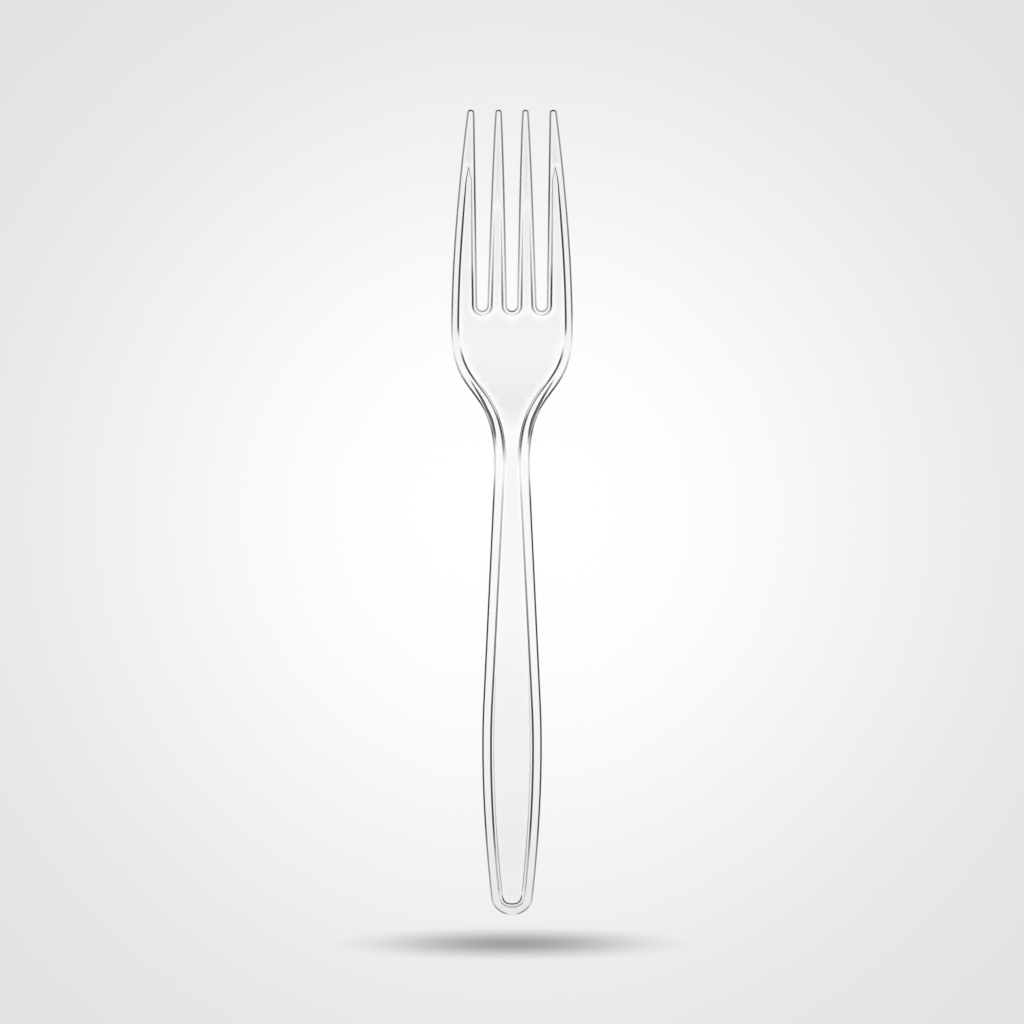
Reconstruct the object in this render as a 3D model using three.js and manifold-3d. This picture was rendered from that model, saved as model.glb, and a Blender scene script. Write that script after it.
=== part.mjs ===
// A clear disposable dinner fork, moulded in one piece of plastic.
// X runs across, +Y to the tine tips and +Z up. The fork lies as it comes to rest, tines up,
// on the belly of its head and on the end of its handle. Millimetres.
//
// The plan is drawn flat with two numbers: x, the distance from the centre line, and s, the
// distance along the fork from the tine tips. The side curve and the section give the heights.

import * as THREE from 'three';
import Module from 'manifold-3d';

// Lengths along the fork, one after the other
const headLength = 48.7; // tine tips to the widest place of the head
const shoulderLength = 33.3; // from there to the waist, the narrowest place of the neck
const handleLength = 60; // the waist to the widest place of the handle
const tailLength = 38; // from there to the end of the handle

// Widths
const headWidth = 27.25;
const waistWidth = 8.1;
const handleWidth = 13.4;
const tailWidth = 9.3; // where the rounding of the handle's end begins

// Tines and slots
const slotDepth = 44.75; // tine tips to the bottom of the slots
const slotRadius = 1.1; // round bottom of a slot
const slotPitch = 6.65; // centre line to the middle of a side slot, at its bottom
const outerTipCentre = 9.2;
const outerTipRadius = 0.85;
const middleTipCentre = 3;
const middleTipRadius = 0.77;
const middleTineBowAt = 9; // the edges of a middle tine bow out a little towards its tip
const middleTineBow = 0.24;

// How far the curves of the plan hold their first direction
const headSidePull = 28.3;
const shoulderPullAtHead = 17.5;
const shoulderPullAtWaist = 21.6;
const handleEase = 5;
const tailSidePull = 16;
const tailRound = 3.6; // length of the rounding at the handle's end
const tailFullness = 0.66; // how squarely that rounding meets the end

// Side curve: a slope for each straight stretch, with curves between them
const tineRise = 0.4; // slope of the straight tine tips
const neckRise = 0.5; // slope of the neck
const tipStraight = 6;
const bellyFlat = 4; // the flat underneath that the head rests on
const bellySetback = 2.7; // middle of that flat to the widest place of the head
const heelLength = 14; // curve from the flat into the neck
const neckStraight = 10;
const crestLength = 16; // curve over the top of the neck into the handle

// Section: a rim all round a shallow recess in the upper face
const tipThickness = 1.25;
const headThickness = 2.1; // height of the rim at the bottom of the slots
const waistThickness = 2.5;
const tailThickness = 2.8;
const headRecess = 0.85; // depth of the recess at the bottom of the slots
const waistRecess = 1;
const tailRecess = 1.5;
const recessFade = 8; // the recess would run out to nothing this far from the tips
const recessWall = 0.12; // how far its walls lean in, from the rim down to its floor
const headRim = 1.5;
const shoulderRim = 2.1;
const tailRim = 1.8;
const slotRim = 0.93;
const outerRecessEnd = 13; // tine tips to the pointed ends of the recess
const middleRecessEnd = 21;
const recessPoint = 2.7; // length of those points
const recessTailRound = 2.8; // length of its rounding in the end of the handle
const ledgeWidth = 0.5; // a ledge half way down its walls, in the wider part of the handle
const ledgeSetback = 24; // where that ledge begins, before the widest place of the handle
const ledgeRunIn = 16; // length over which it comes to its full width
const undersideRound = 0.45;
const sideLean = 0.16; // how far the outer side leans in by the time it meets the rim's edge
const rimRound = 0.2;

const waistAt = headLength + shoulderLength;
const handleWidestAt = waistAt + handleLength;
const overallLength = handleWidestAt + tailLength;
const slotAt = slotDepth - slotRadius;
const ledgeStart = handleWidestAt - ledgeSetback;
const bellyStart = headLength - bellySetback - bellyFlat / 2;
const heelStart = bellyStart + bellyFlat;
const neckStart = heelStart + heelLength;
const crestStart = neckStart + neckStraight;
const crestEnd = crestStart + crestLength;

// A value that changes evenly between stations, each a distance from the tips and the value there
const between = (...stations) => (s) => {
  const next = stations.findIndex(([end]) => s < end);
  if (next === 0) return stations[0][1];
  if (next < 0) return stations.at(-1)[1];
  const [from, start] = stations[next - 1];
  const [to, end] = stations[next];
  return THREE.MathUtils.mapLinear(s, from, to, start, end);
};

const thickness = between(
  [0, tipThickness],
  [slotDepth, headThickness],
  [waistAt, waistThickness],
  [overallLength, tailThickness],
);
const recess = between(
  [recessFade, 0],
  [slotDepth, headRecess],
  [waistAt, waistRecess],
  [overallLength, tailRecess],
);
const sideRim = between(
  [headLength, headRim],
  [neckStart, shoulderRim],
  [waistAt, shoulderRim],
  [overallLength, tailRim],
);
const ledgeAt = between([ledgeStart, 0], [ledgeStart + ledgeRunIn, ledgeWidth]);

// The side curve is straight stretches joined by curves in which the slope changes evenly.
// The handle slopes down from the crest just so that its end comes back to the table.
const heelMiddle = heelStart + heelLength / 2;
const crestMiddle = crestStart + crestLength / 2;
const handleFall = (neckRise * (crestMiddle - heelMiddle)) / (overallLength - crestMiddle);
const bends = [
  { from: tipStraight, to: bellyStart, turn: tineRise },
  { from: heelStart, to: neckStart, turn: neckRise },
  { from: crestStart, to: crestEnd, turn: -neckRise - handleFall },
];
const tipHeight = (tineRise * (tipStraight + bellyStart)) / 2;

function undersideAt(s) {
  const lift = ({ from, to, turn }) => {
    const inside = THREE.MathUtils.clamp(s, from, to) - from;
    return turn * (inside ** 2 / (2 * (to - from)) + Math.max(s - to, 0));
  };
  return bends.reduce((height, bend) => height + lift(bend), tipHeight - tineRise * s);
}

function slopeAt(s) {
  const share = ({ from, to }) => THREE.MathUtils.clamp((s - from) / (to - from), 0, 1);
  return bends.reduce((slope, bend) => slope + bend.turn * share(bend), -tineRise);
}

const at = (x, s) => new THREE.Vector2(x, s);
const quadratic = (a, b, c, steps) => new THREE.QuadraticBezierCurve(a, b, c).getPoints(steps);
const cubic = (a, b, c, d, steps) => new THREE.CubicBezierCurve(a, b, c, d).getPoints(steps);
const arc = (centre, radius, end, steps) =>
  new THREE.ArcCurve(centre.x, centre.y, radius, 0, end, end < 0).getPoints(steps);

// Right side of the plan, from the middle of the handle's end to the tip of the outer tine
function sideEdge() {
  const tail = at(tailWidth / 2, overallLength - tailRound);
  const grip = at(handleWidth / 2, handleWidestAt);
  const tailCorner = at(grip.x, grip.y + tailSidePull);
  const tailLean = (tail.x - tailCorner.x) / (tail.y - tailCorner.y);
  const gripCorner = at(grip.x, grip.y - handleEase);
  const waist = at(waistWidth / 2, waistAt);
  const handleLean = (gripCorner.x - waist.x) / (gripCorner.y - waist.y);
  const onHandle = (s) => at(waist.x + handleLean * (s - waistAt), s);
  const gripStart = onHandle(gripCorner.y - handleEase);
  const head = at(headWidth / 2, headLength);
  const endRound = tailRound * (1 - tailFullness);
  return [
    cubic(
      at(0, overallLength),
      at(tail.x * tailFullness, overallLength),
      at(tail.x + tailLean * endRound, tail.y + endRound),
      tail,
      6,
    ),
    quadratic(tail, tailCorner, grip, 5),
    quadratic(grip, gripCorner, gripStart, 3),
    [onHandle(ledgeStart)],
    cubic(
      waist,
      at(waist.x - handleLean * shoulderPullAtWaist, waist.y - shoulderPullAtWaist),
      at(head.x, head.y + shoulderPullAtHead),
      head,
      12,
    ),
    quadratic(
      head,
      at(head.x, outerTipRadius + headSidePull),
      at(outerTipCentre + outerTipRadius, outerTipRadius),
      7,
    ),
    arc(at(outerTipCentre, outerTipRadius), outerTipRadius, -Math.PI, 6),
  ].flat();
}

// On from there round the side slot, the middle tine and half of the middle slot
function tineEdges() {
  const tineEdge = (tipX, rootX, bow) => {
    const straightX = THREE.MathUtils.mapLinear(middleTineBowAt, 0, slotAt, tipX, rootX);
    const tip = at(tipX, middleTipRadius);
    return quadratic(tip, at(straightX + bow, middleTineBowAt), at(rootX, slotAt), 5);
  };
  return [
    arc(at(slotPitch, slotAt), slotRadius, Math.PI, 8),
    tineEdge(middleTipCentre + middleTipRadius, slotPitch - slotRadius, middleTineBow).reverse(),
    arc(at(middleTipCentre, middleTipRadius), middleTipRadius, -Math.PI, 6),
    tineEdge(middleTipCentre - middleTipRadius, slotRadius, -middleTineBow),
    arc(at(0, slotAt), slotRadius, Math.PI / 2, 4),
  ].flat();
}

function outline() {
  const half = [...sideEdge(), ...tineEdges()];
  const mirrored = half.map(({ x, y }) => at(-x, y)).reverse();
  const near = 1e-3;
  return [...half, ...mirrored].filter((p, i, ring) => p.distanceTo(ring.at(i - 1)) > near);
}

// A ring of the plan moved inwards. The width may differ from point to point.
const inset = (ring, width) => ring.map((p, i) => {
  const along = ring[(i + 1) % ring.length].clone().sub(ring.at(i - 1)).normalize();
  return at(p.x + along.y * width(p), p.y - along.x * width(p));
});

// Upper edge of the recess: the outline moved in by the rim, with a round end of its own in the
// handle, and cut off to a point in each tine
function recessEdge(ring) {
  const end = overallLength - tailRim;
  const roundAt = end - recessTailRound;
  const isSide = ({ x, y }) => y > slotDepth + slotRim || Math.abs(x) > outerTipCentre;
  const recessEnd = ({ x }) => (Math.abs(x) > slotPitch ? outerRecessEnd : middleRecessEnd);
  const isKept = (p) => p.y >= recessEnd(p) + recessPoint;
  const moved = inset(ring, (p) => (isSide(p) ? sideRim(p.y) : slotRim));
  const edge = ring.flatMap((p, i) => {
    if (isKept(p)) return [moved[i]];
    if (!isKept(ring[i - 1])) return [];
    const next = ring.findIndex((q, j) => j > i && isKept(q));
    return [at((moved[i - 1].x + moved[next].x) / 2, recessEnd(p))];
  });
  const sides = edge.filter(({ y }) => y < roundAt);
  const beyond = edge[edge.indexOf(sides[0]) - 1];
  const side = sides[0].clone().lerp(beyond, (roundAt - sides[0].y) / (beyond.y - sides[0].y));
  const pull = side.clone().sub(sides[0]).setLength(recessTailRound * tailFullness);
  const round = cubic(at(0, end), at(side.x * tailFullness, end), side.clone().add(pull), side, 7);
  return [...round, ...sides, ...round.slice(1).map(({ x, y }) => at(-x, y)).reverse()];
}

// A closed solid through rings of as many points each. Every ring is { ring, level }.
function loft(rings) {
  const count = rings[0].ring.length;
  const points = rings.flatMap(({ ring, level }) => ring.map(({ x, y }) => new THREE.Vector3(x, y, level)));
  const faces = [];
  for (let lower = 0; lower < (rings.length - 1) * count; lower += count) {
    for (let i = 0; i < count; i += 1) {
      const j = (i + 1) % count;
      faces.push([lower + i, lower + j, lower + count + j]);
      faces.push([lower + i, lower + count + j, lower + count + i]);
    }
  }
  const top = (rings.length - 1) * count;
  const cap = (ring) => THREE.ShapeUtils.triangulateShape(ring, []);
  cap(rings[0].ring).forEach(([a, b, c]) => faces.push([a, b, c]));
  cap(rings.at(-1).ring).forEach(([a, b, c]) => faces.push([top + c, top + b, top + a]));
  return { points, faces };
}

// Cuts every face that crosses one distance from the tips, so that the solid can bend there
function cutAcross({ points, faces }, station) {
  const near = 1e-6;
  const side = points.map((p) => (Math.abs(p.y - station) < near ? 0 : Math.sign(p.y - station)));
  const cuts = new Map();
  const cutOn = (a, b) => {
    const edge = a < b ? `${a} ${b}` : `${b} ${a}`;
    if (!cuts.has(edge)) {
      const share = (station - points[a].y) / (points[b].y - points[a].y);
      cuts.set(edge, points.push(points[a].clone().lerp(points[b], share)) - 1);
    }
    return cuts.get(edge);
  };
  const cutFaces = faces.flatMap((face) => {
    if (!face.some((p) => side[p] > 0) || !face.some((p) => side[p] < 0)) return [face];
    return [1, -1].flatMap((kept) => {
      const corners = face.flatMap((a, i) => {
        const b = face[(i + 1) % face.length];
        const corner = side[a] * kept >= 0 ? [a] : [];
        return side[a] * side[b] < 0 ? [...corner, cutOn(a, b)] : corner;
      });
      return corners.slice(2).map((c, i) => [corners[0], corners[i + 1], c]);
    });
  });
  return { points, faces: cutFaces };
}

// Distances from the tips at which the solid is cut: along every bend, and where a thickness turns
function stations() {
  const bendStep = 5;
  const alongBend = ({ from, to }) => {
    const steps = Math.ceil((to - from) / bendStep);
    return Array.from({ length: steps + 1 }, (_, i) => from + ((to - from) * i) / steps);
  };
  return [...bends.flatMap(alongBend), recessFade, slotDepth, waistAt];
}

// Lifts a flat solid onto the side curve. heightOf turns a level of the flat solid into a height.
function raise(flat, heightOf) {
  const { points, faces } = stations().reduce(cutAcross, flat);
  const raised = points.map(({ x, y: s, z: level }) => {
    const lean = Math.hypot(1, slopeAt(s));
    return [x, overallLength / 2 - s, undersideAt(s) + heightOf(level, s) * lean];
  });
  const mesh = new wasm.Mesh({
    numProp: 3,
    vertProperties: new Float32Array(raised.flat()),
    triVerts: new Uint32Array(faces.flat()),
  });
  return new wasm.Manifold(mesh);
}

// The whole fork without its recess. A level is a share of the thickness.
function blank(ring) {
  const section = [
    { level: 0, width: undersideRound },
    { level: 0.13, width: undersideRound * 0.3 },
    { level: 0.32, width: 0 },
    { level: 0.86, width: sideLean },
    { level: 1, width: sideLean + rimRound },
  ];
  const flat = loft(section.map(({ level, width }) => ({ ring: inset(ring, () => width), level })));
  return raise(flat, (level, s) => level * thickness(s));
}

// What the recess takes away. Level 0 is its floor and level 1 the top of the rim.
function recessCutter(ring) {
  const section = [
    { level: 0, wall: 1, ledge: 1 },
    { level: 0.42, wall: 0.8, ledge: 1 },
    { level: 0.47, wall: 0.6, ledge: 0 },
    { level: 1.6, wall: -0.6, ledge: 0 },
  ];
  const edge = recessEdge(ring);
  const flat = loft(section.map(({ level, wall, ledge }) => ({
    ring: inset(edge, ({ y }) => wall * recessWall + ledge * ledgeAt(y)),
    level,
  })));
  return raise(flat, (level, s) => thickness(s) + (level - 1) * recess(s));
}

const wasm = await Module();
wasm.setup();

function fork() {
  const ring = outline();
  const solid = blank(ring).subtract(recessCutter(ring)).getMesh();
  const geometry = new THREE.BufferGeometry();
  geometry.setAttribute('position', new THREE.BufferAttribute(solid.vertProperties, 3));
  geometry.setIndex(new THREE.BufferAttribute(solid.triVerts, 1));
  geometry.computeVertexNormals();
  const clearPlastic = new THREE.MeshStandardMaterial({
    color: '#eef3f5',
    roughness: 0.06,
    metalness: 0,
    transparent: true,
    opacity: 0.35,
  });
  const mesh = new THREE.Mesh(geometry, clearPlastic);
  mesh.name = 'fork';
  return mesh;
}

const group = new THREE.Group();
group.add(fork());

export default group;
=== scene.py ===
import math

import bpy
import numpy as np
from mathutils.geometry import delaunay_2d_cdt
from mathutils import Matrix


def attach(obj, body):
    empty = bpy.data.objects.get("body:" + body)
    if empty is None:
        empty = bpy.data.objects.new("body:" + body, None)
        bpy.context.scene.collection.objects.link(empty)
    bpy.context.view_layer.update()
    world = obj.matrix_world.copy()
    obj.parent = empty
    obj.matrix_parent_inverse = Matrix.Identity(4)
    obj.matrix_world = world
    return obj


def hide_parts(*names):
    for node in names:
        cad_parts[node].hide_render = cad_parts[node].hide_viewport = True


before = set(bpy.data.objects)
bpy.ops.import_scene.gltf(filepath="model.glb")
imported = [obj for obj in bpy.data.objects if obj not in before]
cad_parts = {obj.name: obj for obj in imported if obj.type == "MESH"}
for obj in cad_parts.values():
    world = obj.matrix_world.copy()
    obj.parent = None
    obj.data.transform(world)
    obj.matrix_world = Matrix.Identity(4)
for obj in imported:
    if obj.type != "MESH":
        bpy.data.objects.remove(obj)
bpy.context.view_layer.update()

# A clear disposable dinner fork, moulded in one piece, on a pale floor.
# The plan is worked out in millimetres, with two numbers: x, the distance from the centre line,
# and s, the distance along the fork from the tine tips. Blender's own units are metres.
MM = 0.001

# Lengths along the fork
HEAD_LENGTH = 48.7
SHOULDER_LENGTH = 33.3
HANDLE_LENGTH = 60
TAIL_LENGTH = 38
WAIST_AT = HEAD_LENGTH + SHOULDER_LENGTH
GRIP_AT = WAIST_AT + HANDLE_LENGTH
OVERALL_LENGTH = GRIP_AT + TAIL_LENGTH

# Widths, tines and slots
HEAD_WIDTH = 27.25
WAIST_WIDTH = 8.1
GRIP_WIDTH = 13.4
TAIL_WIDTH = 9.3
SLOT_DEPTH = 44.75
SLOT_RADIUS = 1.1
SLOT_PITCH = 6.65
SLOT_AT = SLOT_DEPTH - SLOT_RADIUS
OUTER_TIP_CENTRE = 9.2
OUTER_TIP_RADIUS = 0.85
MIDDLE_TIP_CENTRE = 3
MIDDLE_TIP_RADIUS = 0.77
MIDDLE_TINE_BOW_AT = 9
MIDDLE_TINE_BOW = 0.24

# How far the curves of the plan hold their first direction
HEAD_SIDE_PULL = 28.3
SHOULDER_PULL_AT_HEAD = 17.5
SHOULDER_PULL_AT_WAIST = 21.6
GRIP_EASE = 5
TAIL_SIDE_PULL = 16
TAIL_ROUND = 3.6
TAIL_FULLNESS = 0.66

# Side curve: two slopes, then lengths along the fork
TINE_RISE = 0.4
NECK_RISE = 0.5
TIP_STRAIGHT = 6
BELLY_FLAT = 4
BELLY_SETBACK = 2.7
HEEL_LENGTH = 14
NECK_STRAIGHT = 10
CREST_LENGTH = 16
BELLY_START = HEAD_LENGTH - BELLY_SETBACK - BELLY_FLAT / 2
HEEL_START = BELLY_START + BELLY_FLAT
NECK_START = HEEL_START + HEEL_LENGTH
CREST_START = NECK_START + NECK_STRAIGHT
CREST_END = CREST_START + CREST_LENGTH

# Stations of the section: distance from the tips, then the size or the share there
THICKNESS = ((0, 1.25), (SLOT_DEPTH, 2.1), (WAIST_AT, 2.5), (OVERALL_LENGTH, 2.8))
RECESS = ((8, 0), (SLOT_DEPTH, 0.85), (WAIST_AT, 1.0), (OVERALL_LENGTH, 1.5))
SIDE_RIM = ((HEAD_LENGTH, 1.5), (NECK_START, 2.1), (WAIST_AT, 2.1), (OVERALL_LENGTH, 1.8))
LEDGE = ((GRIP_AT - 24, 0), (GRIP_AT - 8, 1))
SLOT_RIM = 0.93
TAIL_RIM = 1.8
OUTER_RECESS_END = 13
MIDDLE_RECESS_END = 21
RECESS_POINT = 2.7
RECESS_RUN_IN = 7
RECESS_TAIL_ROUND = 2.8

# Fineness of the mesh
EDGE_STEP = 0.6
FILL_STEP = 1.3
ARC_STEPS = 20
LEAST_STEPS = 4
ROUND_STEPS = 5
SHARPEST_CORNER = 0.3
SAME_POINT = 1e-3
FILL_CLEARANCE = FILL_STEP * 0.5
FILL_TOLERANCE = 1e-7

# Photograph's frame, in its own pixels
FRAME_PIXELS = 1024
TIP_ROW = 110.6
TAIL_ROW = 915.1
CENTRE_COLUMN = 512

# Camera: its height and sensor in millimetres, its reach in metres
CAMERA_HEIGHT = 4000
CAMERA_SENSOR = 36
CAMERA_REACH = 20

# The floor, and its painted pool of light: greys from the middle outwards at shares of the distance over
# which it greys
FLOOR_REACH = 3000
FLOOR_DROP = 0.05
FLOOR_FADE = 161
FLOOR_LEVEL = 0.974
FLOOR_GREYS = (
    (0, 1.0), (0.083, 0.997), (0.139, 0.992), (0.25, 0.971), (0.36, 0.939), (0.47, 0.896),
    (0.583, 0.856), (0.694, 0.814), (0.806, 0.786), (0.917, 0.767), (1, 0.763),
)
# A soft oval shadow painted on the floor, beyond the handle's end
SHADE_AT = -96.4
SHADE_REACH = (43.5, 4.3)
SHADE_DEPTH = 0.59

# The sky's light, from the horizon at 0 to straight above at 1
SKY_LEVELS = ((0.0, 0.0), (0.12, 0.0), (0.35, 1.1), (1.0, 1.1))

# Clear plastic
PLASTIC_IOR = 1.5
PLASTIC_COLOUR = (0.99, 0.99, 0.99, 1)
# Black of the painted dark lines, and the power by which the painted shade deepens
LINE_COLOUR = (0, 0, 0, 1)
PAINTED_SHADE_POWER = 2
PASSING_LIGHT = (0.995, 0.995, 0.995, 1)
WAVE_STRENGTH = 0.08
WAVE_HEIGHT = 0.4
WAVE_STRETCH = (1.6, 0.5, 1.6)
RUB_RANGE = (0.5, 0.8)
MARKS = {"Wave Size": 60.0, "Rub Size": 900.0, "Smooth": 0.02, "Rubbed": 0.06}

# Places of the colour sockets in a mix node
MIX_FIRST = 6
MIX_SECOND = 7
MIX_RESULT = 2

# What the side curve's nodes take: lengths in metres, and slopes
HEEL_MIDDLE = HEEL_START + HEEL_LENGTH / 2
CREST_MIDDLE = CREST_START + CREST_LENGTH / 2
HANDLE_FALL = NECK_RISE * (CREST_MIDDLE - HEEL_MIDDLE) / (OVERALL_LENGTH - CREST_MIDDLE)
CURVE_SIZES = {
    "Overall Length": OVERALL_LENGTH * MM,
    "Slot Depth": SLOT_DEPTH * MM,
    "Waist At": WAIST_AT * MM,
    "Tip Straight": TIP_STRAIGHT * MM,
    "Belly Start": BELLY_START * MM,
    "Heel Start": HEEL_START * MM,
    "Neck Start": NECK_START * MM,
    "Crest Start": CREST_START * MM,
    "Crest End": CREST_END * MM,
    "Recess Fade": RECESS[0][0] * MM,
    "Tip Thickness": THICKNESS[0][1] * MM,
    "Head Thickness": THICKNESS[1][1] * MM,
    "Waist Thickness": THICKNESS[2][1] * MM,
    "Tail Thickness": THICKNESS[3][1] * MM,
    "Head Recess": RECESS[1][1] * MM,
    "Waist Recess": RECESS[2][1] * MM,
    "Tail Recess": RECESS[3][1] * MM,
    "Tine Rise": TINE_RISE,
    "Neck Rise": NECK_RISE,
    "Crest Turn": NECK_RISE + HANDLE_FALL,
}


def along(s, stations):
    """A size that changes evenly between stations."""
    return np.interp(s, [at for at, size in stations], [size for at, size in stations])


def cubic(a, b, c, d):
    a, b, c, d = (np.array(p, float) for p in (a, b, c, d))
    steps = max(LEAST_STEPS, math.ceil(np.linalg.norm(d - a) / EDGE_STEP))
    t = np.linspace(0, 1, steps + 1)[:, None]
    return (1 - t) ** 3 * a + 3 * (1 - t) ** 2 * t * b + 3 * (1 - t) * t * t * c + t**3 * d


def quadratic(a, b, c):
    a, b, c = (np.array(p, float) for p in (a, b, c))
    return cubic(a, a + (b - a) * 2 / 3, c + (b - c) * 2 / 3, c)


def straight(a, b):
    return quadratic(a, (np.array(a) + np.array(b)) / 2, b)


def arc(centre, radius, end):
    steps = math.ceil(ARC_STEPS * abs(end) / math.pi)
    angle = np.linspace(0, end, steps + 1)
    return np.column_stack((centre[0] + radius * np.cos(angle), centre[1] + radius * np.sin(angle)))


def side_edge():
    """Right side of the plan, from the middle of the handle's end to the outer tine's tip."""
    tail = np.array((TAIL_WIDTH / 2, OVERALL_LENGTH - TAIL_ROUND))
    grip = np.array((GRIP_WIDTH / 2, GRIP_AT))
    tail_corner = grip + (0, TAIL_SIDE_PULL)
    tail_lean = (tail[0] - tail_corner[0]) / (tail[1] - tail_corner[1])
    grip_corner = grip - (0, GRIP_EASE)
    waist = np.array((WAIST_WIDTH / 2, WAIST_AT))
    handle_lean = (grip_corner[0] - waist[0]) / (grip_corner[1] - waist[1])
    grip_start = grip_corner - (handle_lean * GRIP_EASE, GRIP_EASE)
    head = np.array((HEAD_WIDTH / 2, HEAD_LENGTH))
    end_round = TAIL_ROUND * (1 - TAIL_FULLNESS)
    return [
        cubic(
            (0, OVERALL_LENGTH),
            (tail[0] * TAIL_FULLNESS, OVERALL_LENGTH),
            tail + (tail_lean * end_round, end_round),
            tail,
        ),
        quadratic(tail, tail_corner, grip),
        quadratic(grip, grip_corner, grip_start),
        straight(grip_start, waist),
        cubic(
            waist,
            waist - (handle_lean * SHOULDER_PULL_AT_WAIST, SHOULDER_PULL_AT_WAIST),
            head + (0, SHOULDER_PULL_AT_HEAD),
            head,
        ),
        quadratic(
            head,
            (head[0], OUTER_TIP_RADIUS + HEAD_SIDE_PULL),
            (OUTER_TIP_CENTRE + OUTER_TIP_RADIUS, OUTER_TIP_RADIUS),
        ),
        arc((OUTER_TIP_CENTRE, OUTER_TIP_RADIUS), OUTER_TIP_RADIUS, -math.pi),
    ]


def tine_edges():
    """On from there round the side slot, the middle tine and half of the middle slot."""

    def tine_edge(tip_x, root_x, bow):
        straight_x = tip_x + (root_x - tip_x) * MIDDLE_TINE_BOW_AT / SLOT_AT
        bend = (straight_x + bow, MIDDLE_TINE_BOW_AT)
        return quadratic((tip_x, MIDDLE_TIP_RADIUS), bend, (root_x, SLOT_AT))

    inner = (OUTER_TIP_CENTRE - OUTER_TIP_RADIUS, OUTER_TIP_RADIUS)
    tip = MIDDLE_TIP_CENTRE
    return [
        straight(inner, (SLOT_PITCH + SLOT_RADIUS, SLOT_AT)),
        arc((SLOT_PITCH, SLOT_AT), SLOT_RADIUS, math.pi),
        tine_edge(tip + MIDDLE_TIP_RADIUS, SLOT_PITCH - SLOT_RADIUS, MIDDLE_TINE_BOW)[::-1],
        arc((tip, MIDDLE_TIP_RADIUS), MIDDLE_TIP_RADIUS, -math.pi),
        tine_edge(tip - MIDDLE_TIP_RADIUS, SLOT_RADIUS, -MIDDLE_TINE_BOW),
        arc((0, SLOT_AT), SLOT_RADIUS, math.pi / 2),
    ]


def closed_ring(half):
    """A half ring and its mirror image, with doubled points dropped."""
    ring = np.vstack((half, (half * (-1, 1))[::-1]))
    gap = np.linalg.norm(ring - np.roll(ring, 1, axis=0), axis=1)
    return ring[gap > SAME_POINT]


def inset(ring, width):
    """A ring moved inwards, by one width or by one for each point."""
    run = np.roll(ring, -1, axis=0) - ring
    run /= np.linalg.norm(run, axis=1)[:, None]
    inward = np.column_stack((run[:, 1], -run[:, 0]))
    middle = inward + np.roll(inward, 1, axis=0)
    middle /= np.linalg.norm(middle, axis=1)[:, None]
    mitre = 1 / np.maximum((middle * inward).sum(axis=1), SHARPEST_CORNER)
    return ring + middle * (np.broadcast_to(width, len(ring)) * mitre)[:, None]


def recess_fade(points):
    """How far the recess has come to its depth: it starts at a point in each tine."""
    ends = np.where(np.abs(points[:, 0]) > SLOT_PITCH, OUTER_RECESS_END, MIDDLE_RECESS_END)
    share = np.clip((points[:, 1] - ends) / RECESS_RUN_IN, 0, 1)
    return share * share * (3 - 2 * share)


def recess_edge(ring):
    """Upper edge of the recess, with a round end in the handle and a point in each tine."""
    x, s = np.abs(ring[:, 0]), ring[:, 1]
    side = (s > SLOT_DEPTH + SLOT_RIM) | (x > OUTER_TIP_CENTRE)
    moved = inset(ring, np.where(side, along(s, SIDE_RIM), SLOT_RIM))
    ends = np.where(x > SLOT_PITCH, OUTER_RECESS_END, MIDDLE_RECESS_END)
    kept = s >= ends + RECESS_POINT
    half = []
    for i in range(len(ring) // 2 + 1):
        if kept[i]:
            half.append(moved[i])
        elif kept[i - 1]:
            after = i + int(np.argmax(kept[i:]))
            apex = np.array(((moved[i - 1, 0] + moved[after, 0]) / 2, ends[i]))
            half += [*straight(moved[i - 1], apex)[1:], *straight(apex, moved[after])[1:-1]]
    half = np.array([p for p in half if p[0] > -SAME_POINT])
    end = OVERALL_LENGTH - TAIL_RIM
    round_at = end - RECESS_TAIL_ROUND
    sides = half[half[:, 1] < round_at]
    beyond = half[np.argmax(half[:, 1] < round_at) - 1]
    share = (round_at - sides[0, 1]) / (beyond[1] - sides[0, 1])
    start = sides[0] + (beyond - sides[0]) * share
    pull = (beyond - sides[0]) / np.linalg.norm(beyond - sides[0]) * RECESS_TAIL_ROUND * TAIL_FULLNESS
    tail = cubic((0, end), (start[0] * TAIL_FULLNESS, end), start + pull, start)
    return closed_ring(np.vstack((tail, sides)))


def quarter(width, rise):
    """Points of a quarter of an ellipse, from lying flat to standing upright."""
    return [
        (width * (1 - math.sin(a)), rise * (1 - math.cos(a)))
        for a in np.linspace(0, math.pi / 2, ROUND_STEPS + 1)
    ]


# Outer section, from under the fork, round the side and onto the rim: how far in from the
# outline, the height as a share of the thickness, and how strongly the painted edge line, the
# rim's painted shade and the neck's painted dark band show there
UNDERSIDE_ROUND = 0.42
UNDERSIDE_RISE = 0.24
OUTER_SECTION = [
    (UNDERSIDE_ROUND + 0.05, 0, 0, 0, 0),
    *[(width, height, 0, 0, 0) for width, height in quarter(UNDERSIDE_ROUND, UNDERSIDE_RISE)],
    (0, 0.36, 0.3, 0, 0),
    (0.01, 0.6, 0.3, 0, 0),
    (0.03, 0.93, 0.6, 0, 0),
    (0.05, 0.985, 1, 0, 0),
    (0.08, 1, 1, 0, 0),
    (0.37, 1, 1, 0, 0),
    (0.41, 1, 0.3, 0, 0),
    (0.44, 1, 0.12, 0, 0),
    ("band start", 1, 0.05, 0.3, 0),
    ("band dark", 1, 0, 0.5, 0.88),
    ("band core", 1, 0, 0.5, 0.94),
    ("band end", 1, 0, 0.5, 1),
    ("band clear", 1, 0, 1, 0),
]
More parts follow.
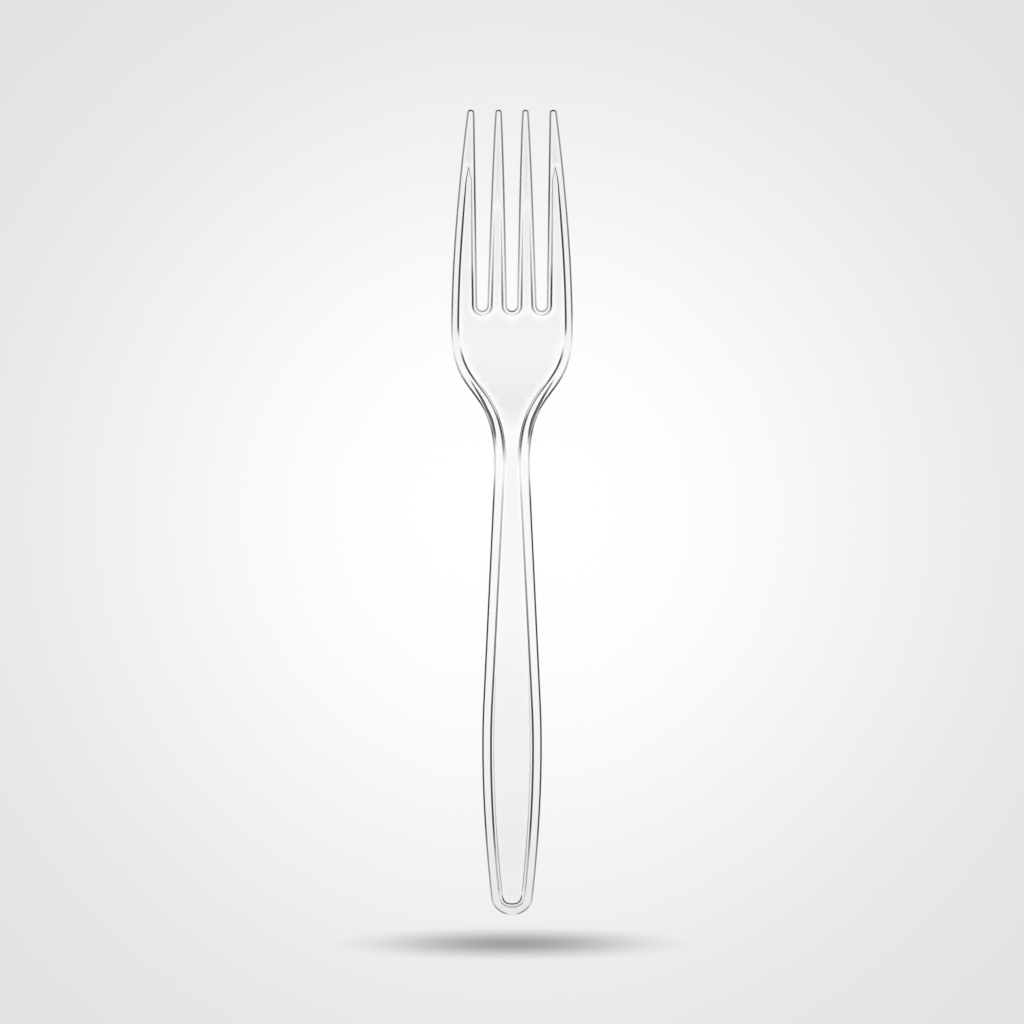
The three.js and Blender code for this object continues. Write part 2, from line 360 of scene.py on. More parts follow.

# Section of the recess: how far in from its edge, how much further in beyond the ledge, the
# depth as a share of the whole without and with the ledge, and how strongly the rim's painted
# shade, the painted upper line, the painted lower line and the recess's painted grey shade show there
RECESS_SECTION = [
    (-0.33, 0, 0, 0, 1, 0, 0, 0),
    (-0.16, 0, 0, 0, 0, 0, 0, 0),
    (-0.11, 0, 0, 0, 0, 0.95, 0, 0),
    (0, 0, 0, 0, 0, 1, 0, 0),
    (0.02, 0, 0.06, 0.04, 0, 1, 0, 0),
    (0.06, 0, 0.94, 0.5, 0, 1, 0, 0),
    (0.09, 0, 1, 0.54, 0, 1, 0, 0),
    (0.28, 0, 1, 0.55, 0, "wide", 0, 0),
    (0.33, 0, 1, 0.55, 0, 0, 0, 0),
    (0.35, 0.2, 1, 0.57, 0, 0, 0, 0),
    (0.37, 0.22, 1, 0.6, 0, 0, 1, 0),
    (0.39, 0.25, 1, 0.96, 0, 0, 1, 0),
    (0.42, 0.26, 1, 1, 0, 0, 1, 0),
    (0.54, 0.28, 1, 1, 0, 0, 1, 0),
    (0.60, 0.3, 1, 1, 0, 0, 0, 0),
    (0.72, 0.3, 1, 1, 0, 0, 0, 1),
]

# The painted dark band of shade along the neck: where it starts and ends, in from the outline
BAND_START = (
    (0, 0.5), (57, 0.5), (60.5, 1.3), (61.5, 1.22), (62.7, 1.08), (65, 0.7), (67, 0.5), (72, 0.5),
    (77, 0.5),
)
BAND_END = (
    (0, 0.54), (57, 0.54), (60.5, 1.44), (61.5, 1.42), (62.7, 1.36), (65, 1.22), (67, 1.04), (69.5, 1.1),
    (72, 0.98), (75, 0.66), (77, 0.54),
)
BAND_EDGE = 0.05
BAND_CORE = 0.24

# How strongly the painted dark lines and painted shades show, at distances from the tips
EDGE_LINE = (
    (0, 0.7), (20, 0.76), (38, 0.88), (44.5, 0.88), (47, 0.7), (49.3, 0.5), (51, 0.35), (52.2, 0.2),
    (54, 0.15), (56, 0.4), (57, 0.55), (60, 0.62), (63, 0.55), (68, 0.5), (70, 0.7), (72, 0.95),
    (74, 0.75), (78, 0.35), (81, 0.32), (84, 0.75), (87, 1), (160, 1), (166, 0.78), (172, 0.68),
    (176, 0.6), (177.5, 0.35), (178.5, 0.65), (179.7, 0.7), (180, 0.1),
)
OUTER_TINE_INSIDE = (
    (0, 0.75), (10, 0.9), (20, 0.98), (27, 0.8), (34, 0.62), (40, 0.56), (43, 0.56), (44.7, 0.62),
)
MIDDLE_TINE_OUTSIDE = (
    (0, 0.62), (3, 0.72), (20, 0.78), (30, 0.66), (34, 0.6), (40, 0.5), (43, 0.5), (44.7, 0.62),
)
MIDDLE_TINE_INSIDE = (
    (0, 0.62), (3, 0.75), (10, 0.84), (20, 0.84), (30, 0.68), (34, 0.62), (40, 0.48), (43, 0.46),
    (44.2, 0.5), (44.7, 0.85),
)
# How far the recess's line spreads inwards: it is a fine one beside the neck
WIDE_LINE = ((59.5, 1), (61.5, 0.1), (67, 0.1), (69.5, 1))
NECK_BAND = ((60.8, 0), (61.8, 0.95), (64, 1), (72.5, 1), (76, 0))
SIDE_LINE = (
    (13, 1), (15, 1), (48, 1), (49.3, 0.8), (50.2, 0.3), (51.2, 0.08), (52.2, 0.05), (53, 0.15),
    (54, 0.45), (55, 0.85), (56, 1), (60, 1), (62, 1), (65, 0.85), (67, 0.85), (69, 1), (72, 1),
    (75, 0.85), (78, 0.25), (81, 0.12), (84, 0.3), (87, 0.48), (92, 0.52), (98, 0.62), (110, 0.78),
    (123, 0.9), (135, 1), (160, 1), (164, 0.8), (168, 0.52), (174, 0.5), (175.4, 0.25),
    (176.4, 0.15), (177.2, 0.5), (178.2, 0.45),
)
OUTER_TINE_LINE = (
    (13, 0.6), (25, 0.45), (30, 0.55), (34, 0.62), (38, 1), (43.6, 1), (45, 0.5), (45.6, 0.32),
)
MIDDLE_TINE_LINE = (
    (22, 0), (24, 0.1), (26, 0.24), (29, 0.38), (34, 0.55), (38, 0.72), (43.4, 0.88), (44.8, 0.5),
    (45.6, 0.08),
)
LEDGE_LINE = (
    (61, 0), (62.5, 0.5), (66, 0.55), (68, 0.75), (70.5, 0.97), (74, 0.95), (77, 0.35), (80, 0),
    (118, 0), (132, 0.3), (150, 0.35), (160, 0.45), (167, 0.6), (174.2, 0.5), (175.3, 0.2),
    (176.2, 1), (177.5, 1),
)
RIM_SHADE = (
    (22, 0.05), (35, 0.05), (50, 0.07), (56, 0.05), (60, 0.03), (78, 0.03), (90, 0.06), (125, 0.05),
    (150, 0.06), (180, 0.08),
)
TINE_SHADE = ((1.5, 0), (4, 0.06), (8, 0.1), (12, 0.12), (21, 0.1))
FILL_SHADE = (
    (0, 0.09), (20, 0.09), (44, 0.08), (50, 0.08), (54, 0.07), (60, 0.11), (66, 0.16), (68.5, 0.13),
    (71, 0.04), (74, 0.035), (78, 0.06), (82, 0.08), (87, 0.085), (105, 0.06), (114, 0.055), (132, 0.085),
    (150, 0.065), (160, 0.07), (168, 0.065), (172, 0.035), (180, 0.05),
)
# How much of that painted grey shade the recess has along its edge
FILL_EDGE = ((30, 0.7), (38, 0.7), (45, 0), (69, 0), (75, 0.8), (165, 0.8), (174, 0))

# A painted highlight below the middle slot, where the painted grey is left out
PAINTED_HIGHLIGHT_AT = 46.9
PAINTED_HIGHLIGHT_SIZE = 1.1

# Points along the middle of a tine's solid front part, and of a middle tine's recess
TINE_MIDDLE_START = 2
TINE_MIDDLE_STEP = 0.6
TINE_MIDDLE_SHORT = 0.9
TINE_MIDDLE_SPREAD = 0.22
TINE_MIDDLE_WIDENS = 10
RECESS_MIDDLE_START = MIDDLE_RECESS_END + 5

# How dark the darkest painted line is, and how soon behind the tines' solid parts the rim's painted grey
# shade comes in
LINE_DEPTH = 0.98
RIM_GREY_RUN_IN = 4

# Share of the recess's wall that fits in its pointed ends
OUTER_ROOM = ((OUTER_RECESS_END, 0.05), (20, 0.72), (26, 1))
MIDDLE_ROOM = ((MIDDLE_RECESS_END, 0.05), (29, 0.6), (40, 0.95), (44, 1))


def edge_line(points):
    """How strongly the painted dark line along the outline shows: by the side, or by the side of a tine.
    """
    x, s = np.abs(points[:, 0]), points[:, 1]
    outside, inside = along(s, MIDDLE_TINE_OUTSIDE), along(s, MIDDLE_TINE_INSIDE)
    tine = np.where(x > middle_tine_middle(s), outside, inside)
    tine = np.where(x > SLOT_PITCH, along(s, OUTER_TINE_INSIDE), tine)
    return np.where((s > HEAD_LENGTH) | (x > outer_tine_middle(s)), along(s, EDGE_LINE), tine)


def recess_line(points):
    """How strongly the painted dark line along the recess shows: by the side, or by the side of a tine."""
    x, s = np.abs(points[:, 0]), points[:, 1]
    tine = np.where(x > SLOT_PITCH, along(s, OUTER_TINE_LINE), along(s, MIDDLE_TINE_LINE))
    return np.where((s > HEAD_LENGTH) | (x > outer_tine_middle(s)), along(s, SIDE_LINE), tine)


def outer_tine_middle(s):
    """Middle line of the outer tine, from its tip to its root."""
    root = (SLOT_PITCH + SLOT_RADIUS + HEAD_WIDTH / 2) / 2
    return OUTER_TIP_CENTRE + (root - OUTER_TIP_CENTRE) * np.minimum(s / SLOT_AT, 1)


def rim_painted_shade(points):
    """How much painted grey shade the rim has: none along the solid front part of a tine."""
    ends = np.where(np.abs(points[:, 0]) > SLOT_PITCH, OUTER_RECESS_END, MIDDLE_RECESS_END)
    return along(points[:, 1], RIM_SHADE) * np.clip((points[:, 1] - ends) / RIM_GREY_RUN_IN, 0, 1)


def tine_middles():
    """Points along the solid front part of each tine, and how much painted grey shade it has there."""
    points = []
    for end in (OUTER_RECESS_END, MIDDLE_RECESS_END):
        for s in np.arange(TINE_MIDDLE_START, end - TINE_MIDDLE_SHORT, TINE_MIDDLE_STEP):
            middle = outer_tine_middle(s) if end == OUTER_RECESS_END else middle_tine_middle(s)
            spread = TINE_MIDDLE_SPREAD * np.clip(s / TINE_MIDDLE_WIDENS, 0, 1)
            for side in (-1, 1):
                points += [(side * middle - spread, s), (side * middle + spread, s)]
    points = np.array(points)
    return points, along(points[:, 1], TINE_SHADE)


def recess_middles():
    """Points along the recess of each middle tine, which is too narrow for the even grid."""
    s = np.arange(RECESS_MIDDLE_START, SLOT_AT, TINE_MIDDLE_STEP)
    half = np.column_stack((middle_tine_middle(s), s))
    return np.vstack((half, half * (-1, 1)))


def middle_tine_middle(s):
    """Middle line of a middle tine."""
    return MIDDLE_TIP_CENTRE + (SLOT_PITCH / 2 - MIDDLE_TIP_CENTRE) * s / SLOT_AT


def recess_room(points):
    """Share of the wall's full width that fits in the recess: less near its point in a tine."""
    x, s = np.abs(points[:, 0]), points[:, 1]
    return np.where(x > SLOT_PITCH, along(s, OUTER_ROOM), along(s, MIDDLE_ROOM))


def inside(points, ring):
    """Which points lie inside a ring."""
    a, b = ring, np.roll(ring, -1, axis=0)
    px, py = points[:, 0, None], points[:, 1, None]
    crosses = (a[:, 1] > py) != (b[:, 1] > py)
    with np.errstate(divide="ignore", invalid="ignore"):
        at = a[:, 0] + (py - a[:, 1]) * (b[:, 0] - a[:, 0]) / (b[:, 1] - a[:, 1])
    return (crosses & (px < at)).sum(axis=1) % 2 == 1


class FlatFork:
    """The fork as a flat closed mesh. Each point has a share of the thickness and a share of the
    recess, from which the side curve works out its height."""

    def __init__(self):
        self.points, self.shares, self.sinks, self.clears, self.faces = [], [], [], [], []

    def add(self, points, share, sink, clear):
        start = len(self.points)
        self.points += [tuple(p) for p in points]
        self.shares += [share] * len(points)
        self.sinks += list(sink * recess_fade(points))
        self.clears += list(np.broadcast_to(clear, len(points)))
        return np.arange(start, start + len(points))

    def strip(self, lower, upper):
        after = np.roll(lower, -1), np.roll(upper, -1)
        self.faces += list(zip(lower, after[0], after[1], upper))

    def fill(self, rings, share, sink, faces_up, fine):
        """Closes the area inside the first ring and outside the others."""
        outlines = [np.array([self.points[i] for i in ring]) for ring in rings]
        edges, start = [], 0
        for ring in rings:
            n = len(ring)
            edges += [(start + i, start + (i + 1) % n) for i in range(n)]
            start += n
        indices = list(np.concatenate(rings))
        if len(rings) > 1:
            # Points down the tines' middles carry their painted grey shade
            middle, grey = tine_middles()
            indices += list(self.add(middle, share, sink, 1 - grey))
        if fine:
            extra = self.grid(outlines)
            if sink:
                extra = np.vstack((extra, recess_middles()))
            # Painted grey shade over the fill, left out round the painted highlight below the middle slot
            from_painted_highlight = np.linalg.norm(extra - (0, PAINTED_HIGHLIGHT_AT), axis=1) / PAINTED_HIGHLIGHT_SIZE
            clear = 1 - along(extra[:, 1], FILL_SHADE) * sink * np.clip(from_painted_highlight, 0, 1)
            indices += list(self.add(extra, share, sink, clear))
        flat = [self.points[i] for i in indices]
        verts, _, tris, sources, _, _ = delaunay_2d_cdt(flat, edges, [], 0, FILL_TOLERANCE)
        tris = np.array([t for t in tris if len(t) == 3])
        corners = np.array([tuple(v) for v in verts])[tris]
        middles = corners.mean(axis=1)
        wanted = inside(middles, outlines[0])
        for hole in outlines[1:]:
            wanted &= ~inside(middles, hole)
        a, b, c = corners[:, 0], corners[:, 1], corners[:, 2]
        turn = (b[:, 0] - a[:, 0]) * (c[:, 1] - a[:, 1]) - (b[:, 1] - a[:, 1]) * (c[:, 0] - a[:, 0])
        for tri, ok, area in zip(tris, wanted, turn):
            if ok:
                face = [indices[sources[i][0]] for i in tri]
                clockwise = area < 0
                self.faces.append(tuple(face if clockwise == faces_up else face[::-1]))

    @staticmethod
    def grid(outlines):
        """Points evenly over an area, clear of its edges."""
        ring = outlines[0]
        low, high = ring.min(axis=0), ring.max(axis=0)
        half = math.ceil(high[0] / FILL_STEP)
        xs = np.arange(-half, half + 1) * FILL_STEP
        ss = np.arange(low[1] + FILL_STEP / 2, high[1], FILL_STEP)
        points = np.array([(x, s) for s in ss for x in xs])
        points = points[inside(points, ring)]
        for edge in outlines:
            gaps = np.linalg.norm(points[:, None] - edge[None], axis=2).min(axis=1)
            points = points[gaps > FILL_CLEARANCE]
        return points


def flat_fork():
    flat = FlatFork()
    outline = closed_ring(np.vstack(side_edge() + tine_edges()))
    s = outline[:, 1]
    line, band, rim_shade = edge_line(outline), along(s, NECK_BAND), rim_painted_shade(outline)
    band_start, band_end = along(s, BAND_START), along(s, BAND_END)
    places = {
        "band start": band_start - BAND_EDGE,
        "band dark": band_start,
        "band core": band_end - np.minimum((band_end - band_start) / 2, BAND_CORE),
        "band end": band_end,
        "band clear": band_end + BAND_EDGE,
    }
    # Painted shade on the outer rings: the dark edge line, the rim's grey and the neck's dark band
    outer = [
        flat.add(
            inset(outline, places.get(width, width)),
            share,
            0,
            1 - np.maximum(LINE_DEPTH * np.maximum(in_line * line, in_band * band), in_rim * rim_shade),
        )
        for width, share, in_line, in_rim, in_band in OUTER_SECTION
    ]
    for lower, upper in zip(outer, outer[1:]):
        flat.strip(lower, upper)
    edge = recess_edge(outline)
    s = edge[:, 1]
    room, ledge, rim_shade = recess_room(edge), along(s, LEDGE), rim_painted_shade(edge)
    upper_line, lower_line = recess_line(edge), along(s, LEDGE_LINE)
    # Painted shade in the recess: its grey, the rim's grey and the dark lines along its edges
    grey = along(s, FILL_SHADE) * along(s, FILL_EDGE)
    shares = {"wide": along(s, WIDE_LINE)}
    inner = [
        flat.add(
            inset(edge, width * (room if width > 0 else 1) + further * ledge),
            1,
            deep + (deep_with_ledge - deep) * ledge,
            1
            - in_rim * rim_shade
            - in_fill * grey
            - LINE_DEPTH * np.maximum(shares.get(in_upper, in_upper) * upper_line, in_lower * lower_line),
        )
        for width, further, deep, deep_with_ledge, in_rim, in_upper, in_lower, in_fill in RECESS_SECTION
    ]
    for upper, lower in zip(inner, inner[1:]):
        flat.strip(upper, lower)
    flat.fill([outer[0]], 0, 0, faces_up=False, fine=True)
    flat.fill([outer[-1], inner[0]], 1, 0, faces_up=True, fine=False)
    flat.fill([inner[-1]], 1, 1, faces_up=True, fine=True)
    mesh = bpy.data.meshes.new("fork_clear")
    plan = np.array(flat.points)
    place = np.column_stack((plan[:, 0], OVERALL_LENGTH / 2 - plan[:, 1], np.zeros(len(plan)))) * MM
    mesh.from_pydata([tuple(p) for p in place], [], [tuple(int(i) for i in f) for f in flat.faces])
    # 'clear' holds the painted shade: 1 where no painted line or grey darkens the plastic
    attributes = {"share": flat.shares, "sink": flat.sinks, "clear": flat.clears}
    for name, values in attributes.items():
        mesh.attributes.new(name, "FLOAT", "POINT").data.foreach_set("value", values)
    return mesh


def side_curve_tree():
    """Geometry nodes that lift the flat fork onto its side curve. Lengths are in metres."""
    tree = bpy.data.node_groups.new("side_curve", "GeometryNodeTree")
    tree.interface.new_socket("Geometry", in_out="INPUT", socket_type="NodeSocketGeometry")
    for name in CURVE_SIZES:
        tree.interface.new_socket(name, in_out="INPUT", socket_type="NodeSocketFloat")
    tree.interface.new_socket("Material", in_out="INPUT", socket_type="NodeSocketMaterial")
    tree.interface.new_socket("Geometry", in_out="OUTPUT", socket_type="NodeSocketGeometry")
    nodes, links = tree.nodes, tree.links
    given = nodes.new("NodeGroupInput").outputs
    result = nodes.new("NodeGroupOutput")

    def put(socket, value):
        if isinstance(value, bpy.types.NodeSocket):
            links.new(value, socket)
        else:
            socket.default_value = value

    def maths(operation, *values):
        node = nodes.new("ShaderNodeMath")
        node.operation = operation
        for socket, value in zip(node.inputs, values):
            put(socket, value)
        return node.outputs[0]

    def attribute(name):
        node = nodes.new("GeometryNodeInputNamedAttribute")
        node.data_type = "FLOAT"
        node.inputs["Name"].default_value = name
        return node.outputs["Attribute"]

    def ramp(value, start, end, low, high):
        node = nodes.new("ShaderNodeMapRange")
        for socket, given_value in zip(node.inputs, (value, start, end, low, high)):
            put(socket, given_value)
        return node.outputs["Result"]

    place = nodes.new("ShaderNodeSeparateXYZ")
    links.new(nodes.new("GeometryNodeInputPosition").outputs[0], place.inputs[0])
    s = maths("SUBTRACT", maths("MULTIPLY", given["Overall Length"], 0.5), place.outputs["Y"])

    def size_along(*stations):
        """A size that changes evenly between stations: two given values for each."""
        total = given[stations[0][1]] if stations[0][1] else 0.0
        for (start, low), (end, high) in zip(stations, stations[1:]):
            from_value = given[low] if low else 0.0
            change = maths("SUBTRACT", given[high], from_value)
            total = maths("ADD", total, ramp(s, given[start] if start else 0.0, given[end], 0.0, change))
        return total

    thickness = size_along(
        (None, "Tip Thickness"),
        ("Slot Depth", "Head Thickness"),
        ("Waist At", "Waist Thickness"),
        ("Overall Length", "Tail Thickness"),
    )
    recess = size_along(
        ("Recess Fade", None),
        ("Slot Depth", "Head Recess"),
        ("Waist At", "Waist Recess"),
        ("Overall Length", "Tail Recess"),
    )

    def bend(start, end, turn):
        """Height and slope that one curve adds."""
        length = maths("SUBTRACT", given[end], given[start])
        turned = ramp(s, given[start], given[end], 0.0, 1.0)
        within = maths("MULTIPLY", maths("POWER", turned, 2.0), maths("MULTIPLY", length, 0.5))
        past = maths("MAXIMUM", maths("SUBTRACT", s, given[end]), 0.0)
        height = maths("MULTIPLY", turn, maths("ADD", within, past))
        return height, maths("MULTIPLY", turn, turned)

    bends = (
        bend("Tip Straight", "Belly Start", given["Tine Rise"]),
        bend("Heel Start", "Neck Start", given["Neck Rise"]),
        bend("Crest Start", "Crest End", maths("MULTIPLY", given["Crest Turn"], -1.0)),
    )
    curl = maths("ADD", given["Tip Straight"], given["Belly Start"])
    tip_height = maths("MULTIPLY", maths("MULTIPLY", given["Tine Rise"], 0.5), curl)
    height = maths("SUBTRACT", tip_height, maths("MULTIPLY", given["Tine Rise"], s))
    slope = maths("MULTIPLY", given["Tine Rise"], -1.0)
    for added_height, added_slope in bends:
        height = maths("ADD", height, added_height)
        slope = maths("ADD", slope, added_slope)
    lean = maths("SQRT", maths("ADD", maths("MULTIPLY", slope, slope), 1.0))
    built = maths("MULTIPLY", attribute("share"), thickness)
    sunk = maths("MULTIPLY", attribute("sink"), recess)
    lift = maths("ADD", height, maths("MULTIPLY", maths("SUBTRACT", built, sunk), lean))
    offset = nodes.new("ShaderNodeCombineXYZ")
    links.new(lift, offset.inputs["Z"])
    raised = nodes.new("GeometryNodeSetPosition")
    links.new(given["Geometry"], raised.inputs["Geometry"])
    links.new(offset.outputs[0], raised.inputs["Offset"])
    smooth = nodes.new("GeometryNodeSetShadeSmooth")
    links.new(raised.outputs[0], smooth.inputs["Geometry"])
    real = nodes.new("GeometryNodeRealizeInstances")
    links.new(smooth.outputs[0], real.inputs["Geometry"])
    finish = nodes.new("GeometryNodeSetMaterial")
    links.new(real.outputs[0], finish.inputs["Geometry"])
    links.new(given["Material"], finish.inputs["Material"])
    links.new(finish.outputs[0], result.inputs[0])
    return tree


def moulding_marks():
    """Shader group: the faint waves and rubs of moulded plastic."""
    group = bpy.data.node_groups.new("moulding_marks", "ShaderNodeTree")
    for name, value in MARKS.items():
        socket = group.interface.new_socket(name, in_out="INPUT", socket_type="NodeSocketFloat")
        socket.default_value = value
    for name in ("Waves", "Roughness"):
        group.interface.new_socket(name, in_out="OUTPUT", socket_type="NodeSocketFloat")
    nodes, links = group.nodes, group.links
    given = nodes.new("NodeGroupInput").outputs
    result = nodes.new("NodeGroupOutput").inputs
    place = nodes.new("ShaderNodeTexCoord").outputs["Object"]
    flow = nodes.new("ShaderNodeMapping")
    flow.inputs["Scale"].default_value = WAVE_STRETCH
    waves = nodes.new("ShaderNodeTexNoise")
    rubs = nodes.new("ShaderNodeTexNoise")
    links.new(place, flow.inputs["Vector"])
    links.new(flow.outputs[0], waves.inputs["Vector"])
    links.new(given["Wave Size"], waves.inputs["Scale"])
    links.new(place, rubs.inputs["Vector"])
    links.new(given["Rub Size"], rubs.inputs["Scale"])
    rough = nodes.new("ShaderNodeMapRange")
    rough.inputs["From Min"].default_value = RUB_RANGE[0]
    rough.inputs["From Max"].default_value = RUB_RANGE[1]
    links.new(rubs.outputs["Fac"], rough.inputs["Value"])
    links.new(given["Smooth"], rough.inputs["To Min"])
    links.new(given["Rubbed"], rough.inputs["To Max"])
    links.new(waves.outputs["Fac"], result["Waves"])
    links.new(rough.outputs["Result"], result["Roughness"])
    return group


def painted_edge_shade():
    """Shader group: the plastic's colour with painted shade, darkened along painted lines that stand in
    for edges turning light away.
    """
    group = bpy.data.node_groups.new("painted_edge_shade", "ShaderNodeTree")
    clear_colour = group.interface.new_socket("Clear Color", in_out="INPUT", socket_type="NodeSocketColor")
    clear_colour.default_value = PLASTIC_COLOUR
    group.interface.new_socket("Color", in_out="OUTPUT", socket_type="NodeSocketColor")
    nodes, links = group.nodes, group.links
    given = nodes.new("NodeGroupInput").outputs
    result = nodes.new("NodeGroupOutput").inputs
    # The 'clear' attribute carries painted shade: lines and greys where edges turn light away
    clear = nodes.new("ShaderNodeAttribute")
    clear.attribute_name = "clear"
    squared = nodes.new("ShaderNodeMath")
    squared.operation = "POWER"
    squared.inputs[1].default_value = PAINTED_SHADE_POWER
    mix = nodes.new("ShaderNodeMix")
    mix.data_type = "RGBA"
    links.new(clear.outputs["Fac"], squared.inputs[0])
    links.new(squared.outputs[0], mix.inputs["Factor"])
    mix.inputs[MIX_FIRST].default_value = LINE_COLOUR
    links.new(given["Clear Color"], mix.inputs[MIX_SECOND])
    links.new(mix.outputs[MIX_RESULT], result["Color"])
    return group


def clear_plastic():
    material = bpy.data.materials.new("clear_plastic")
    material.use_nodes = True
    nodes, links = material.node_tree.nodes, material.node_tree.links
    nodes.clear()
    plastic = nodes.new("ShaderNodeBsdfPrincipled")
    plastic.inputs["IOR"].default_value = PLASTIC_IOR
    plastic.inputs["Transmission Weight"].default_value = 1
    marks = nodes.new("ShaderNodeGroup")
    marks.node_tree = moulding_marks()
    bump = nodes.new("ShaderNodeBump")
    bump.inputs["Strength"].default_value = WAVE_STRENGTH
    bump.inputs["Distance"].default_value = WAVE_HEIGHT * MM
    links.new(marks.outputs["Waves"], bump.inputs["Height"])
    links.new(bump.outputs[0], plastic.inputs["Normal"])
    links.new(marks.outputs["Roughness"], plastic.inputs["Roughness"])
    # Base colour with painted shade along the edges and over the recess
    painted_shade_node = nodes.new("ShaderNodeGroup")
    painted_shade_node.node_tree = painted_edge_shade()
    links.new(painted_shade_node.outputs["Color"], plastic.inputs["Base Color"])
    # The sky's light passes straight through the plastic to what lies behind it
    path = nodes.new("ShaderNodeLightPath")
    through = nodes.new("ShaderNodeBsdfTransparent")
    through.inputs["Color"].default_value = PASSING_LIGHT
    passing = nodes.new("ShaderNodeMath")
    passing.operation = "MAXIMUM"
    links.new(path.outputs["Is Shadow Ray"], passing.inputs[0])
    links.new(path.outputs["Is Diffuse Ray"], passing.inputs[1])
    mix = nodes.new("ShaderNodeMixShader")
    output = nodes.new("ShaderNodeOutputMaterial")
    links.new(passing.outputs[0], mix.inputs[0])
    links.new(plastic.outputs[0], mix.inputs[1])
    links.new(through.outputs[0], mix.inputs[2])
    links.new(mix.outputs[0], output.inputs["Surface"])
    return material


def make_fork():
    flat = bpy.data.objects.new("flat", flat_fork())
    bpy.context.collection.objects.link(flat)
    curve = flat.modifiers.new("side_curve", "NODES")
    curve.node_group = side_curve_tree()
    sockets = {
        item.name: item.identifier
        for item in curve.node_group.interface.items_tree
        if item.in_out == "INPUT"
    }
    for name, size in CURVE_SIZES.items():
        curve[sockets[name]] = size
    curve[sockets["Material"]] = clear_plastic()
    seen = flat.evaluated_get(bpy.context.evaluated_depsgraph_get())
    mesh = bpy.data.meshes.new_from_object(seen)
    mesh.name = "fork_clear"
    for name in ("share", "sink"):
        if name in mesh.attributes:
            mesh.attributes.remove(mesh.attributes[name])
    bpy.data.objects.remove(flat)
    fork = bpy.data.objects.new("fork_clear", mesh)
    bpy.context.collection.objects.link(fork)
    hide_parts("fork")
    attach(fork, "root")


def set_ramp(ramp, levels):
    """Greys of a color ramp, with a stop for each."""
    ramp.elements[0].position = levels[0][0]
    ramp.elements[1].position = levels[-1][0]
    for at, grey in levels[1:-1]:
        ramp.elements.new(at)
    for element, (at, grey) in zip(ramp.elements, levels):
        element.color = (grey, grey, grey, 1)


def make_floor():
    """A pale floor with painted light and shade: white under the fork and greyer outwards, and a soft oval
    shadow painted beyond the handle's end.
    """
    reach, level = FLOOR_REACH * MM, -FLOOR_DROP * MM
    corners = [(x * reach, y * reach, level) for x, y in ((-1, -1), (1, -1), (1, 1), (-1, 1))]
    mesh = bpy.data.meshes.new("floor")
    mesh.from_pydata(corners, [], [(0, 1, 2, 3)])
    floor = bpy.data.objects.new("floor", mesh)
    bpy.context.collection.objects.link(floor)
    material = bpy.data.materials.new("pale_floor")
    material.use_nodes = True
    nodes, links = material.node_tree.nodes, material.node_tree.links
    paint = nodes["Principled BSDF"]
    paint.inputs["Roughness"].default_value = 1
    paint.inputs["Specular IOR Level"].default_value = 0
    place = nodes.new("ShaderNodeTexCoord")
    length = nodes.new("ShaderNodeVectorMath")
    length.operation = "LENGTH"
    spread = nodes.new("ShaderNodeMapRange")
    spread.inputs["From Max"].default_value = FLOOR_FADE * MM
    # Painted pool of light: white in the middle, greying outwards
    shade = nodes.new("ShaderNodeValToRGB")
    set_ramp(shade.color_ramp, [(at, grey * FLOOR_LEVEL) for at, grey in FLOOR_GREYS])
    links.new(place.outputs["Object"], length.inputs[0])
    links.new(length.outputs["Value"], spread.inputs["Value"])
    links.new(spread.outputs["Result"], shade.inputs["Fac"])
    # Soft oval shadow painted beyond the handle's end
    away = nodes.new("ShaderNodeVectorMath")
    away.operation = "SUBTRACT"
    away.inputs[1].default_value = (0, SHADE_AT * MM, 0)
    reach_share = nodes.new("ShaderNodeVectorMath")
    reach_share.operation = "DIVIDE"
    reach_share.inputs[1].default_value = (SHADE_REACH[0] * MM, SHADE_REACH[1] * MM, 1)
    share = nodes.new("ShaderNodeVectorMath")
    share.operation = "LENGTH"
    oval = nodes.new("ShaderNodeMapRange")
    oval.interpolation_type = "SMOOTHSTEP"
    oval.inputs["To Min"].default_value = 1 - SHADE_DEPTH
    oval.inputs["To Max"].default_value = 1
    darken = nodes.new("ShaderNodeVectorMath")
    darken.operation = "SCALE"
    links.new(place.outputs["Object"], away.inputs[0])
    links.new(away.outputs[0], reach_share.inputs[0])
    links.new(reach_share.outputs[0], share.inputs[0])
    links.new(share.outputs["Value"], oval.inputs["Value"])
    links.new(shade.outputs["Color"], darken.inputs[0])
    links.new(oval.outputs["Result"], darken.inputs["Scale"])
    links.new(darken.outputs[0], paint.inputs["Base Color"])
    mesh.materials.append(material)


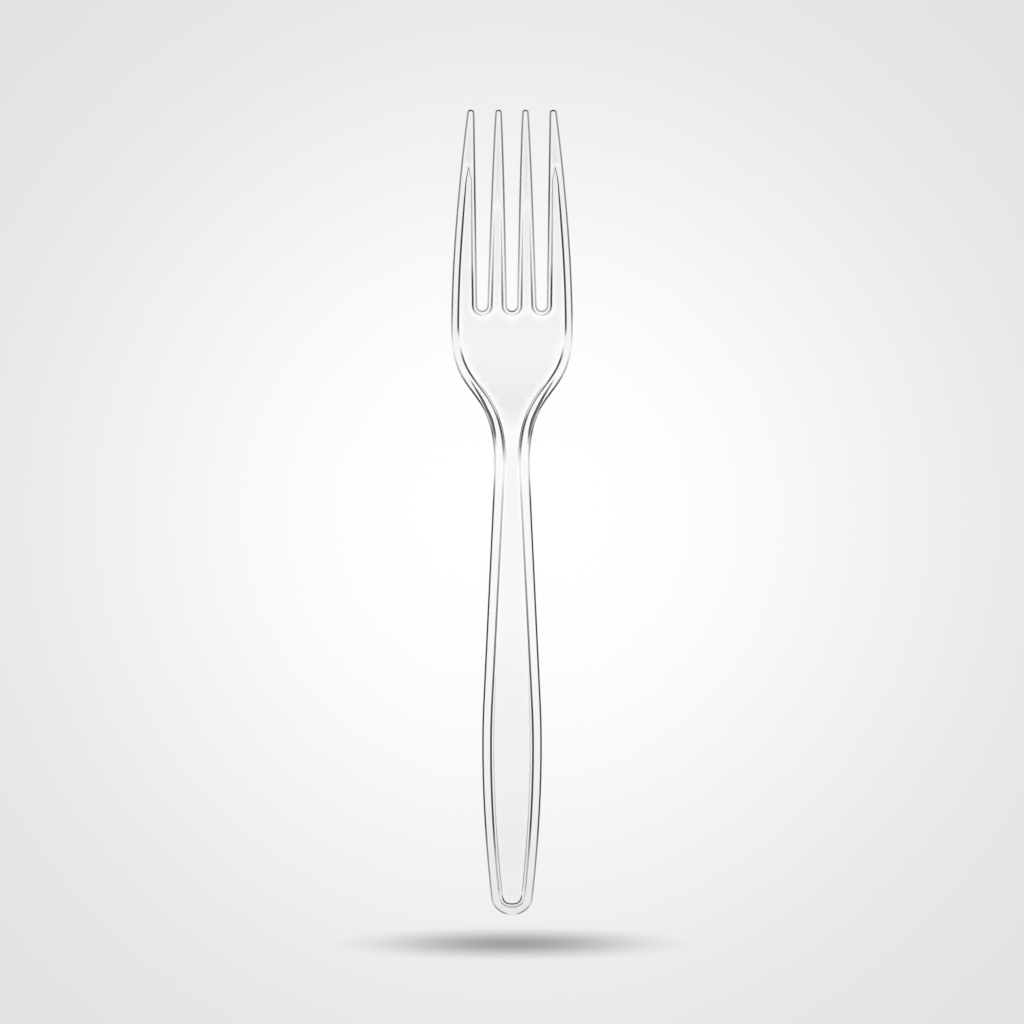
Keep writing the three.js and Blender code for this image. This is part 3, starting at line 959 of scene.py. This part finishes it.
def make_light():
    """Soft light from all the sky but its dark edge, with plain white where it is seen."""
    world = bpy.data.worlds.new("soft_light")
    bpy.context.scene.world = world
    world.use_nodes = True
    nodes, links = world.node_tree.nodes, world.node_tree.links
    back = nodes["Background"]
    place = nodes.new("ShaderNodeTexCoord")
    split = nodes.new("ShaderNodeSeparateXYZ")
    shade = nodes.new("ShaderNodeValToRGB")
    set_ramp(shade.color_ramp, SKY_LEVELS)
    path = nodes.new("ShaderNodeLightPath")
    pale = nodes.new("ShaderNodeBackground")
    pale.inputs["Color"].default_value = (1, 1, 1, 1)
    camera_or_glossy = nodes.new("ShaderNodeMath")
    camera_or_glossy.operation = "MAXIMUM"
    or_clear = nodes.new("ShaderNodeMath")
    or_clear.operation = "MAXIMUM"
    mix = nodes.new("ShaderNodeMixShader")
    links.new(place.outputs["Generated"], split.inputs[0])
    links.new(split.outputs["Z"], shade.inputs["Fac"])
    links.new(shade.outputs["Color"], back.inputs["Color"])
    links.new(path.outputs["Is Camera Ray"], camera_or_glossy.inputs[0])
    links.new(path.outputs["Is Glossy Ray"], camera_or_glossy.inputs[1])
    links.new(camera_or_glossy.outputs[0], or_clear.inputs[0])
    links.new(path.outputs["Is Transmission Ray"], or_clear.inputs[1])
    links.new(or_clear.outputs[0], mix.inputs[0])
    links.new(back.outputs[0], mix.inputs[1])
    links.new(pale.outputs[0], mix.inputs[2])
    links.new(mix.outputs[0], nodes["World Output"].inputs["Surface"])


def make_camera():
    """Straight above the fork, with its tines to the top of the picture."""
    distance = CAMERA_HEIGHT * MM
    data = bpy.data.cameras.new("camera")
    camera = bpy.data.objects.new("camera", data)
    bpy.context.collection.objects.link(camera)
    scale = OVERALL_LENGTH * MM / (TAIL_ROW - TIP_ROW)
    data.sensor_width = CAMERA_SENSOR
    data.lens = data.sensor_width * distance / (scale * FRAME_PIXELS)
    right = (FRAME_PIXELS / 2 - CENTRE_COLUMN) * scale
    up = ((TIP_ROW + TAIL_ROW) / 2 - FRAME_PIXELS / 2) * scale
    camera.location = (right, up, distance)
    data.clip_end = CAMERA_REACH
    bpy.context.scene.camera = camera


make_camera()
make_light()
make_floor()
make_fork()
bpy.context.scene.view_settings.view_transform = "Standard"
